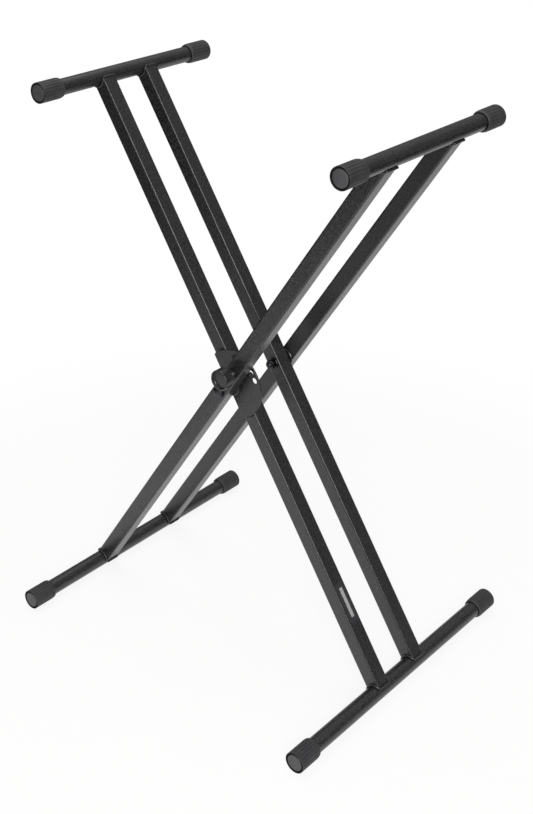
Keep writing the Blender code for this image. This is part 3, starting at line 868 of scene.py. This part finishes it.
def makeBolt(node, out):
    low, high = middle(node)[1:]
    headTop, tail = (high.y, low.y) if out > 0 else (low.y, high.y)
    headRadius, boltRadius = hardware["headRadius"], hardware["boltRadius"]
    base = headTop - out * (hardware["headDome"] + hardware["headEdge"])
    rows = [(0, headTop)]
    for turn in (math.radians(a) for a in (84, 76, 66, 54, 42, 30, 18, 8, 0)):
        rows.append((headRadius * math.cos(turn),
                     base + out * (hardware["headEdge"] + hardware["headDome"] * math.sin(turn))))
    rows += [(headRadius, base + out * hardware["headUnder"]), (headRadius - hardware["headUnder"], base),
             (boltRadius, base)]
    threadStart = tail + out * (hardware["threadLength"] + hardware["threadRunOut"])
    steps = hardware["threadSteps"]
    rows += [(boltRadius, threadStart + (tail - threadStart) * k / steps) for k in range(steps + 1)]
    rows.append((0, tail))

    def threadShape(angle, y, radius):
        fromTail = abs(y - tail)
        if radius > boltRadius + slack or fromTail > hardware["threadLength"]:
            return radius
        turn = (fromTail / hardware["thread"] + angle / (2 * math.pi)) % 1.0
        point = max(0.0, 1 - fromTail / hardware["pointLength"]) * hardware["pointDepth"]
        return radius - hardware["threadDepth"] * abs(2 * turn - 1) - point

    makeRound(node, blackZinc, "inner_frame", rows, False, threadShape)


for place, out in (("near", -1), ("far", 1)):
    makeWasher(f"pivot_head_washer_{place}")
    makeWasher(f"pivot_nut_washer_{place}")
    makeSpacer(f"pivot_spacer_{place}")
    makeNut(f"pivot_nut_{place}", out)
    makeBolt(f"pivot_bolt_{place}", out)
print("pivot hardware made")


# Lock plunger: barrel through the leg, gland, pin, pull knob and spring

plunger = {
    "barrelRadius": 0.0080,
    "barrelBore": 0.0065,
    "barrelEdges": (0.0004, 0.0006),     # in front and behind
    "guideBore": 0.0050,
    "guideLength": 0.0060,
    "glandBore": 0.0033,
    "glandEdge": 0.0005,
    "flange": 0.0020,
    "pinRadius": 0.0047,
    "stemRadius": 0.0030,
    "collarRadius": 0.0062,
    "collar": 0.0025,
    "nose": 0.0012,
    "toCollar": 0.0137,      # from the nose's tip to the collar
}
knob = {
    "radius": 0.0160,
    "hubRadius": 0.0080,
    "hub": 0.0070,
    "hubFillet": 0.0005,
    "hubEdge": 0.0003,
    "edge": 0.0016,
    "backEdge": 0.0012,
    "rim": 0.0034,
    "rimEdge": (0.0003, 0.0005),         # across it and in depth
    "dish": 0.0038,
    "dishFillet": 0.0007,
    "flare": 0.0009,         # the dish's wall leans outward by this much
    "rise": 0.0004,          # and its middle stands this much higher
    "bore": 0.0033,
    "boreFloor": 0.0097,     # from the front
}


def makeBarrel():
    low, high = middle("plunger_barrel")[1:]
    radius, bore, guide = plunger["barrelRadius"], plunger["barrelBore"], plunger["guideBore"]
    front, back = plunger["barrelEdges"]
    shoulder = high.y - plunger["guideLength"]
    rows = [(bore, low.y), (radius - front, low.y), (radius, low.y + front), (radius, high.y - back),
            (radius - back, high.y), (guide, high.y), (guide, shoulder), (bore, shoulder)]
    makeRound("plunger_barrel", coat, "outer_frame", rows, True)


def makeGland():
    low, high = middle("plunger_gland")[1:]
    radius, edge, spigot = plunger["barrelRadius"], plunger["glandEdge"], plunger["collarRadius"]
    flange = low.y + plunger["flange"]
    rows = [(plunger["glandBore"], low.y), (radius - edge, low.y), (radius, low.y + edge),
            (radius, flange), (spigot, flange), (spigot, high.y), (plunger["glandBore"], high.y)]
    makeRound("plunger_gland", blackZinc, "outer_frame", rows, True)


def makePin():
    low, high = middle("index_pin")[1:]
    stem, collar, radius = plunger["stemRadius"], plunger["collarRadius"], plunger["pinRadius"]
    collarBack = high.y - plunger["toCollar"]
    collarFront = collarBack - plunger["collar"]
    nose = plunger["nose"]
    rows = [(0, low.y), (stem, low.y), (stem, collarFront), (collar, collarFront),
            (collar, collarBack), (radius, collarBack), (radius, high.y - nose)]
    rows += arc(radius - nose, high.y - nose, nose, nose, 0, 80, 5)
    rows.append((0, high.y))
    makeRound("index_pin", brightZinc, "lock_pin", rows, False)


def makeKnob():
    low, high = middle("lock_knob")[1:]
    front, back = low.y, high.y
    headBack = back - knob["hub"]
    floor = front + knob["dish"]
    dish = knob["radius"] - knob["rim"]
    mouth = dish + knob["flare"]
    fillet, (rimWidth, rimDepth) = knob["dishFillet"], knob["rimEdge"]
    hub, hubFillet, hubEdge = knob["hubRadius"], knob["hubFillet"], knob["hubEdge"]
    rows = [(0, floor - knob["rise"]), (dish * 0.5, floor - knob["rise"] * 0.8),
            (dish - fillet, floor), (dish, floor - fillet),
            (mouth - rimWidth, front + rimDepth), (mouth, front)]
    rows += arc(knob["radius"] - knob["edge"], front + knob["edge"],
                knob["edge"], -knob["edge"], 90, 0, 8)
    rows += arc(knob["radius"] - knob["backEdge"], headBack - knob["backEdge"],
                knob["backEdge"], knob["backEdge"], 0, 90, 6)
    rows += [(hub + hubFillet, headBack), (hub, headBack + hubFillet), (hub, back - hubEdge),
             (hub - hubEdge, back), (knob["bore"], back),
             (knob["bore"], front + knob["boreFloor"]), (0, front + knob["boreFloor"])]
    makeRound("lock_knob", blackNylon, "lock_pin", rows, False)


spring = {
    "wire": 0.0012,
    "coils": 7,
    "endCoils": 0.75,        # of a turn at each end lie flat
    "endPitch": 1.05,        # of those, in wires
    "stepsPerCoil": 24,
    "sides": 10,
    "travel": 0.0070,        # the pin's pull, which closes the spring up by as much
}


def makeSpring():
    # Wound from hard-drawn wire, as one helix with flat coils at both ends
    centre, low, high = middle("plunger_spring")
    wire = spring["wire"] / 2
    reach = (plunger["stemRadius"] + plunger["barrelBore"]) / 2
    flat = spring["endCoils"]
    pitch = spring["wire"] * spring["endPitch"]
    openLength = high.y - low.y - 2 * wire - 2 * pitch * flat
    bm = bmesh.new()
    rings = []
    for k in range(spring["coils"] * spring["stepsPerCoil"] + 1):
        coil = k / spring["stepsPerCoil"]
        climb = min(max((coil - flat) / (spring["coils"] - 2 * flat), 0.0), 1.0)
        ends = min(coil, flat) + max(coil - spring["coils"] + flat, 0.0)
        turn = 2 * math.pi * coil
        outward = Vector((math.cos(turn), 0, math.sin(turn)))
        spot = Vector((centre.x, low.y + wire + pitch * ends + climb * openLength, centre.z))
        ring = []
        for s in range(spring["sides"]):
            around = 2 * math.pi * s / spring["sides"]
            offset = math.cos(around) * outward + Vector((0, math.sin(around), 0))
            ring.append(bm.verts.new(spot + reach * outward + wire * offset))
        rings.append(ring)
    for first, second in zip(rings, rings[1:]):
        joinRings(bm, first, second)
    bm.faces.new(rings[0])
    bm.faces.new(rings[-1])
    piece = addPiece("wound_plunger_spring", bm, brightZinc, "outer_frame",
                     ["plunger_spring"])
    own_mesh(piece)


makeBarrel()
makeGland()
makePin()
makeKnob()
makeSpring()
for name in ("inner_bush_near", "inner_bush_far", "outer_bush_near", "outer_bush_far"):
    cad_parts[name].material_slots[0].material = brightZinc
print("lock made")


# Blank film label on the near inner leg, with a plain pale field

label = {
    "from": 0.337,           # along the leg from the pivot
    "length": 0.063,
    "width": 0.0185,
    "corner": 0.0015,
    "thickness": 0.0002,
    "sink": 0.0001,          # its underside in the coat
    "fieldLength": 0.047,
    "fieldWidth": 0.0062,
    "fieldCorner": 0.0008,
    "fieldRise": 0.0001,     # above the film
}


def makeFilmPiece(name, material, length, width, corner, low, high):
    x = label["from"] + label["length"] / 2
    y = legs["middles"]["inner_near"]
    outline = []
    for quarter, (sx, sy) in enumerate(((1, 1), (-1, 1), (-1, -1), (1, -1))):
        for k in range(7):
            turn = math.pi / 2 * (quarter + k / 6)
            outline.append((x + sx * (length / 2 - corner) + corner * math.cos(turn),
                            y + sy * (width / 2 - corner) + corner * math.sin(turn)))
    bm = bmesh.new()
    rings = [[bm.verts.new((px, py, z)) for px, py in outline] for z in (low, high)]
    joinRings(bm, *rings)
    for ring in rings:
        bm.faces.new(ring)
    return addPiece(name, bm, material, "inner_frame", [], frameAxes["inner"])


surface = stand["tubeSide"] / 2
filmTop = surface + label["thickness"]
makeFilmPiece("label_film", labelFilm, label["length"], label["width"], label["corner"],
              surface - label["sink"], filmTop)
makeFilmPiece("label_field", fieldFilm, label["fieldLength"], label["fieldWidth"], label["fieldCorner"],
              surface, filmTop + label["fieldRise"])
print("label made")


# Floor, light and camera

eye = {
    "place": (1.21456, -1.40345, 1.40765),
    "heading": 41.0123,      # degrees to the left of +Y
    "downward": 21.6057,
    "roll": 0.2003,
    "lens": 59.64,
    "sensor": 36.0,
    "shiftX": 0.0109,
    "shiftY": -0.2165,
}

studio = {
    "floorRadius": 14.0,
    "floorDrop": 0.0005,     # under the feet
    "paper": ("#f4f3f1", "#f7f6f4"),
    "fibre": 33.3,           # mm, clouds in the paper
    "paperHalfWidth": 0.82,  # white paper roll under the stand, along its bars
    "paperEdge": 0.5,        # over which its light fades into the dim studio
    "dimFloor": 0.04,        # what a gloss sees beyond the paper
    "dimRoom": 0.24,         # and of the walls
    "ceiling": 0.55,
    "ceilingFrom": 0.42,     # height of the direction, where the walls end
    "ceilingTo": 0.7,
    "worldStrength": 0.42,
    "shadowShare": 0.14,     # of the floor's look that the lamps and shadows make, near the stand
    "shadowReach": 1.1,
}


def seenWhite(tree, glossLevel):
    # White for what the eye, a gloss or a glass sees. glossLevel dims it for a gloss, beyond the paper
    path = addNode(tree, "ShaderNodeLightPath")
    isGlossy = path.outputs["Is Glossy Ray"]
    direct = addNode(tree, "ShaderNodeMath", {0: path.outputs["Is Camera Ray"], 1: isGlossy},
                     operation="MAXIMUM")
    seen = addNode(tree, "ShaderNodeMath", {0: direct.outputs[0], 1: path.outputs["Is Transmission Ray"]},
                   operation="MAXIMUM")
    missing = addNode(tree, "ShaderNodeMath", {0: 1.0, 1: glossLevel}, operation="SUBTRACT")
    loss = addNode(tree, "ShaderNodeMath", {0: isGlossy, 1: missing.outputs[0]}, operation="MULTIPLY")
    strength = addNode(tree, "ShaderNodeMath", {0: 1.0, 1: loss.outputs[0]}, operation="SUBTRACT")
    return seen.outputs[0], strength.outputs[0]


def makeFloor():
    # Matt white paper, which shows white and keeps a faint shadow near the stand
    bm = bmesh.new()
    bmesh.ops.create_circle(bm, cap_ends=True, segments=96, radius=studio["floorRadius"])
    mesh = bpy.data.meshes.new("studio_floor")
    bm.to_mesh(mesh)
    bm.free()
    material, tree, place = startMaterial("white paper sweep")
    fibre = addNode(tree, "ShaderNodeTexNoise", {
        "Vector": place, "Scale": patternScale(studio["fibre"]), "Detail": 3.0})
    colour = setRamp(addNode(tree, "ShaderNodeValToRGB", {"Fac": fibre.outputs["Fac"]}),
                     ((noiseLow, studio["paper"][0]), (noiseHigh, studio["paper"][1])))
    paper = addNode(tree, "ShaderNodeBsdfDiffuse", {"Color": colour.outputs["Color"]})
    offset = addNode(tree, "ShaderNodeSeparateXYZ", {"Vector": place})
    reach = addNode(tree, "ShaderNodeMath", {0: offset.outputs["X"]}, operation="ABSOLUTE")
    fade = addNode(tree, "ShaderNodeMapRange", {
        "Value": reach.outputs[0],
        "From Min": studio["paperHalfWidth"] - studio["paperEdge"],
        "From Max": studio["paperHalfWidth"] + studio["paperEdge"],
        "To Min": 1.0, "To Max": studio["dimFloor"]}, interpolation_type="SMOOTHSTEP")
    seen, strength = seenWhite(tree, fade.outputs["Result"])
    glow = addNode(tree, "ShaderNodeEmission", {"Color": (1, 1, 1, 1), "Strength": strength})
    distance = addNode(tree, "ShaderNodeVectorMath", {0: place}, operation="LENGTH")
    plain = addNode(tree, "ShaderNodeMapRange", {
        "Value": distance.outputs["Value"],
        "From Min": 0.5 * studio["shadowReach"], "From Max": studio["shadowReach"],
        "To Min": 1 - studio["shadowShare"], "To Max": 1.0}, interpolation_type="SMOOTHSTEP")
    share = addNode(tree, "ShaderNodeMath", {0: seen, 1: plain.outputs["Result"]}, operation="MULTIPLY")
    mix = addNode(tree, "ShaderNodeMixShader", {
        0: share.outputs[0], 1: paper.outputs[0], 2: glow.outputs[0]})
    addNode(tree, "ShaderNodeOutputMaterial", {"Surface": mix.outputs[0]})
    mesh.materials.append(material)
    floor = bpy.data.objects.new("studio_floor", mesh)
    floor.location.z = -studio["floorDrop"]
    bpy.context.scene.collection.objects.link(floor)


def makeWorld():
    world = bpy.data.worlds.new("soft studio")
    world.use_nodes = True
    tree = world.node_tree
    tree.nodes.clear()
    direction = addNode(tree, "ShaderNodeTexCoord").outputs["Generated"]
    height = addNode(tree, "ShaderNodeSeparateXYZ", {"Vector": direction}).outputs["Z"]
    room = addNode(tree, "ShaderNodeMapRange", {
        "Value": height, "From Min": studio["ceilingFrom"], "From Max": studio["ceilingTo"],
        "To Min": studio["dimRoom"], "To Max": studio["ceiling"]}, interpolation_type="SMOOTHSTEP")
    seen, strength = seenWhite(tree, room.outputs["Result"])
    light = addNode(tree, "ShaderNodeBackground", {
        "Color": (1, 1, 1, 1), "Strength": studio["worldStrength"]})
    shown = addNode(tree, "ShaderNodeBackground", {"Color": (1, 1, 1, 1), "Strength": strength})
    mix = addNode(tree, "ShaderNodeMixShader", {0: seen, 1: light.outputs[0], 2: shown.outputs[0]})
    addNode(tree, "ShaderNodeOutputWorld", {"Surface": mix.outputs[0]})
    bpy.context.scene.world = world


lamps = {
    # place, what it looks at, width, height, power in watts
    "key_softbox": ((1.95, -2.05, 1.8), (0.0, 0.0, 0.45), 1.0, 2.2, 78.0),
    "top_softbox": ((-0.6, 0.3, 2.8), (0.0, 0.0, 0.2), 1.6, 1.6, 20.0),
}


def makeLamps():
    for name, (place, target, width, height, power) in lamps.items():
        lamp = bpy.data.lights.new(name, "AREA")
        lamp.shape = "RECTANGLE"
        lamp.size = width
        lamp.size_y = height
        lamp.energy = power
        holder = bpy.data.objects.new(name, lamp)
        holder.location = place
        holder.rotation_euler = (Vector(target) - Vector(place)).to_track_quat("-Z", "Y").to_euler()
        bpy.context.scene.collection.objects.link(holder)


def makeCamera():
    camera = bpy.data.cameras.new("photo camera")
    camera.sensor_fit = "VERTICAL"
    camera.sensor_height = eye["sensor"]
    camera.lens = eye["lens"]
    camera.shift_x = eye["shiftX"]
    camera.shift_y = eye["shiftY"]
    holder = bpy.data.objects.new("photo camera", camera)
    holder.matrix_world = (Matrix.Translation(eye["place"])
                           @ Matrix.Rotation(math.radians(eye["heading"]), 4, "Z")
                           @ Matrix.Rotation(math.radians(90 - eye["downward"]), 4, "X")
                           @ Matrix.Rotation(math.radians(eye["roll"]), 4, "Z"))
    bpy.context.scene.collection.objects.link(holder)
    bpy.context.scene.camera = holder


makeFloor()
makeWorld()
makeLamps()
makeCamera()
bpy.context.scene.view_settings.view_transform = "Standard"
print("studio made")
